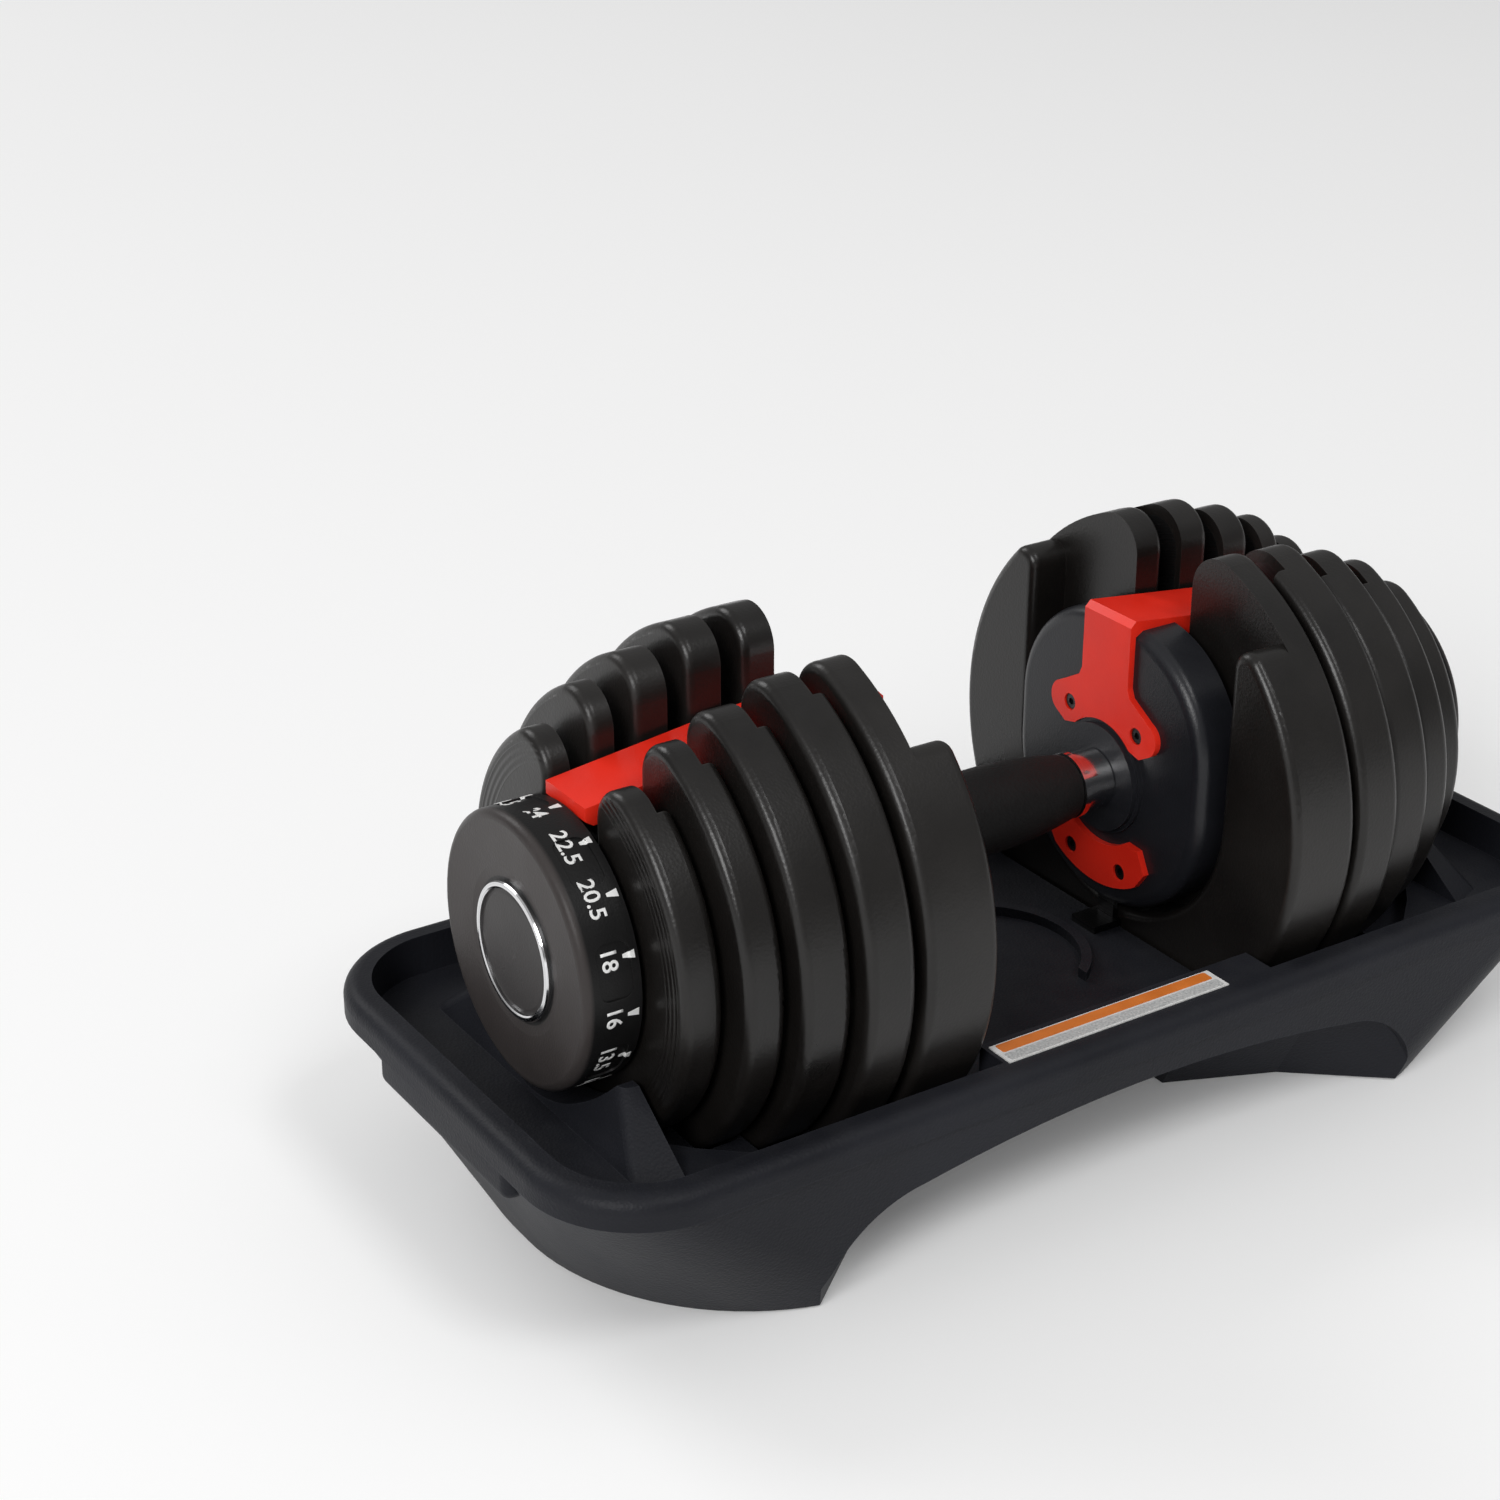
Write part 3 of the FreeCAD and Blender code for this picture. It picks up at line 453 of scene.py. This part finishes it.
# %% The printed marks of both dials
FIGURES = ("24", "22.5", "20.5", "18", "16", "13.5", "11.5", "10", "9", "8", "7", "5.5", "4.5",
           "3.5", "2.5")
CLICK = 2.0 * math.pi / len(FIGURES)
BARREL = 0.050
CLEARANCE = 0.003
FIGURE_REACH = 0.1892
FIGURE_HIGH = 0.0084
FIGURE_BOLD = 0.00012
WEDGE_REACH = 0.1818
WEDGE_LONG = 0.0042
WEDGE_WIDE = 0.68
WEDGE_PINCH = 0.42
INK = 0.0002
INK_SUNK = 0.00006
white_ink = moulded("white_ink", (0.74, 0.74, 0.73), (0.84, 0.84, 0.83), 0.5, 0.0006, 0.00002,
                    0.01, spread=0.1)


def on_barrel(side, click, reach):
    """The place of a mark: reading direction, up towards the plates, and out."""
    angle = click * CLICK
    out = Vector((0.0, -math.sin(angle), math.cos(angle)))
    up = Vector((-SIDES[side], 0.0, 0.0))
    place = Vector((SIDES[side] * reach, 0.0, AXLE)) + out * (BARREL + CLEARANCE)
    turn = Matrix((up.cross(out), up, out)).transposed()
    return Matrix.Translation(place) @ turn.to_4x4()


def print_on(mark, side):
    """Drop a flat mark on to the dial and give it the thickness of its ink."""
    modify(mark, "SHRINKWRAP", target=nodes["dial_" + side], wrap_method="PROJECT",
           use_project_z=True, use_negative_direction=True, use_positive_direction=False,
           offset=-INK_SUNK)
    modify(mark, "SOLIDIFY", thickness=INK, offset=1.0)


def divide(mark, cuts):
    """Divide a mark's faces, so that it can follow the barrel and its finger hollows."""
    bpy.ops.object.mode_set(mode="EDIT")
    bpy.ops.mesh.select_all(action="SELECT")
    bpy.ops.mesh.remove_doubles(threshold=0.000001)
    bpy.ops.mesh.subdivide(number_cuts=cuts)
    bpy.ops.object.mode_set(mode="OBJECT")


def figure(text, side, click):
    """The figures of one click, flat above their place on the dial."""
    rest()
    bpy.ops.object.text_add()
    mark = bpy.context.object
    mark.data.body = text
    mark.data.align_x = "CENTER"
    mark.data.align_y = "CENTER"
    mark.data.size = FIGURE_HIGH
    mark.data.offset = FIGURE_BOLD
    mark.data.resolution_u = 3
    choose(mark)
    bpy.ops.object.convert(target="MESH")
    mark = bpy.context.object
    divide(mark, 3)
    mark.matrix_world = on_barrel(side, click, FIGURE_REACH)
    return mark


def wedge(side, click):
    """A short bar, pinched at the end that points at its figure."""
    rest()
    bpy.ops.mesh.primitive_plane_add(size=WEDGE_LONG)
    mark = bpy.context.object
    bpy.ops.object.mode_set(mode="EDIT")
    bpy.ops.mesh.select_mode(type="VERT")
    bpy.ops.transform.resize(value=(WEDGE_WIDE, 1.0, 1.0))
    bpy.ops.mesh.select_all(action="DESELECT")
    bpy.ops.object.mode_set(mode="OBJECT")
    for corner in mark.data.vertices:
        corner.select = corner.co.y < 0
    bpy.ops.object.mode_set(mode="EDIT")
    bpy.ops.transform.resize(value=(WEDGE_PINCH, 1.0, 1.0))
    bpy.ops.object.mode_set(mode="OBJECT")
    divide(mark, 7)
    mark.matrix_world = on_barrel(side, click, WEDGE_REACH)
    return mark


def join(marks):
    """Many marks made into one piece."""
    choose(*marks)
    bpy.ops.object.join()
    return bpy.context.object


for side in SIDES:
    figures = [figure(text, side, click) for click, text in enumerate(FIGURES)]
    wedges = [wedge(side, click) for click in range(len(FIGURES))]
    for mark in figures + wedges:
        bpy.context.view_layer.update()
        print_on(mark, side)
    settle(join(figures), "dial_figures_" + side, "dial_" + side, white_ink)
    settle(join(wedges), "dial_wedges_" + side, "dial_" + side, white_ink)

# %% [markdown]
# The label on the front rim is pale paper with two printed bands and no words. Each band is
# a thin sheet with rounded corners, so that the print has its own shine and edge.

# %% The label's bands
orange_ink = moulded("orange_ink", (0.60, 0.155, 0.02), (0.72, 0.20, 0.03), 0.42, 0.0006,
                     0.00001, 0.01, spread=0.08)
grey_ink = moulded("grey_ink", (0.33, 0.34, 0.34), (0.60, 0.60, 0.59), 0.48, 0.0005,
                   0.00001, 0.0009, spread=0.06)
BAND_CORNER = 0.0008
BAND_THICK = 0.00012
paper_low, paper_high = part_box("label_plate")


def band(name, start, end, margin, material):
    """A thin printed band along the label, between two shares of its width."""
    deep = paper_high[1] - paper_low[1]
    low, high = paper_low[1] + deep * start, paper_low[1] + deep * end
    left, right = paper_low[0] + margin, paper_high[0] - margin
    rest()
    bpy.ops.mesh.primitive_plane_add(
        size=1.0, location=((left + right) / 2, (low + high) / 2, paper_high[2]))
    piece = bpy.context.object
    piece.scale = (right - left, high - low, 1.0)
    bpy.ops.object.transform_apply(location=False, rotation=False, scale=True)
    bpy.ops.object.mode_set(mode="EDIT")
    bpy.ops.mesh.bevel(offset=BAND_CORNER, affect="VERTICES", segments=3)
    bpy.ops.mesh.select_all(action="SELECT")
    bpy.ops.mesh.extrude_region_move(
        TRANSFORM_OT_translate={"value": (0.0, 0.0, BAND_THICK)})
    bpy.ops.mesh.select_all(action="SELECT")
    bpy.ops.mesh.normals_make_consistent(inside=False)
    bpy.ops.object.mode_set(mode="OBJECT")
    settle(piece, name, "cradle", material)


band("label_orange_band", 0.52, 0.95, 0.0022, orange_ink)
band("label_grey_band", 0.06, 0.44, 0.0015, grey_ink)

# %% [markdown]
# Under each end of the rim hangs a short lip to lift the cradle by. It is a block whose
# lower and outer edges are well rounded, so only those edges are picked for the bevel, and
# its top and back are sunk into the wall that it is moulded with.

# %% The carrying lips
LIP_HALF = 0.047
LIP_DEPTH = 0.0125
LIP_ROUND = 0.004
LIP_INSET = 0.0007
LIP_THICK = 0.009
LIP_TOP = 0.0625
LIP_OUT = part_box("cradle_tray")[1][0] - LIP_INSET
LIP_IN = LIP_OUT - LIP_THICK
NEAR = 0.001


def lip(side):
    """A block with its lower and outer edges rounded."""
    rest()
    reach = SIDES[side] * (LIP_IN + LIP_OUT) / 2
    bpy.ops.mesh.primitive_cube_add(size=1.0, location=(reach, 0.0, LIP_TOP - LIP_DEPTH / 2))
    piece = bpy.context.object
    piece.scale = (LIP_OUT - LIP_IN, 2 * LIP_HALF, LIP_DEPTH)
    bpy.ops.object.transform_apply(location=True, rotation=False, scale=True)
    bpy.ops.object.mode_set(mode="EDIT")
    bpy.ops.mesh.select_mode(type="EDGE")
    bpy.ops.mesh.select_all(action="DESELECT")
    bpy.ops.object.mode_set(mode="OBJECT")
    corners = [corner.co for corner in piece.data.vertices]
    for edge in piece.data.edges:
        middle = (corners[edge.vertices[0]] + corners[edge.vertices[1]]) / 2
        outer = abs(middle.x) > LIP_OUT - NEAR
        lower = middle.z < LIP_TOP - LIP_DEPTH + NEAR
        below_top = middle.z < LIP_TOP - NEAR
        at_an_end = abs(middle.y) > NEAR
        edge.select = (outer and below_top) or (lower and at_an_end)
    bpy.ops.object.mode_set(mode="EDIT")
    bpy.ops.mesh.bevel(offset=LIP_ROUND, segments=5, affect="EDGES")
    bpy.ops.object.mode_set(mode="OBJECT")
    bpy.ops.object.shade_smooth_by_angle(angle=math.radians(40))
    settle(piece, "carrying_lip_" + side, "cradle", finishes["cradle_plastic"])


for side in SIDES:
    lip(side)

# %% [markdown]
# The studio is a pale floor under a broad soft sky. Black plastic shows mostly what it
# reflects, so the sky is bright overhead and at the horizon and dim between them, and three
# soft lamps put a sheen on the dial, the plate rims and the far edges.

# %% Floor
FLOOR_SIZE = 80.0
FLOOR_GLOW = 0.10
WHITE = (1.0, 1.0, 1.0, 1.0)
rest()
bpy.ops.mesh.primitive_plane_add(size=FLOOR_SIZE)
floor = bpy.context.object
floor.name = "floor"
floor_paint, tree, shader, place = plain("floor_paint", specular=0.1)
patch = noise(tree, place, 1.2, 2.0)
tree.links.new(tint(tree, (0.90, 0.90, 0.90, 1.0), (0.92, 0.92, 0.92, 1.0), patch),
               shader.inputs["Base Color"])
shader.inputs["Roughness"].default_value = 0.9
shader.inputs["Emission Color"].default_value = WHITE
shader.inputs["Emission Strength"].default_value = FLOOR_GLOW
floor.data.materials.append(floor_paint)
print("floor", floor.dimensions[0], "m across")

# %% Sky and lamps
sky = bpy.data.worlds.new("studio_sky")
bpy.context.scene.world = sky
sky.use_nodes = True
tree = sky.node_tree
direction = add(tree, "ShaderNodeTexCoord").outputs["Generated"]
upward = add(tree, "ShaderNodeSeparateXYZ", {0: direction}).outputs["Z"]
background = tree.nodes["Background"].inputs
background["Color"].default_value = WHITE
overhead = ramp(tree, upward, 0.0, 0.8, 0.16, 0.46)
horizon = ramp(tree, upward, 0.0, 0.1, 0.6, 0.0)
tree.links.new(sum_of(tree, "ADD", overhead, horizon), background["Strength"])
LAMP_TARGET = Vector((0.0, 0.0, 0.1))


def lamp(name, place, size, power):
    """A square lamp of a size in metres and a power in watts, aimed at the model."""
    light = bpy.data.lights.new(name, "AREA")
    light.size = size
    light.energy = power
    aim(bpy.data.objects.new(name, light), Vector(place), LAMP_TARGET)


lamp("key", (-3.6, -2.2, 2.6), 1.8, 120.0)
lamp("front", (0.6, -3.2, 4.6), 1.6, 60.0)
lamp("back", (-1.6, 4.2, 3.4), 2.4, 70.0)
print("three lamps")
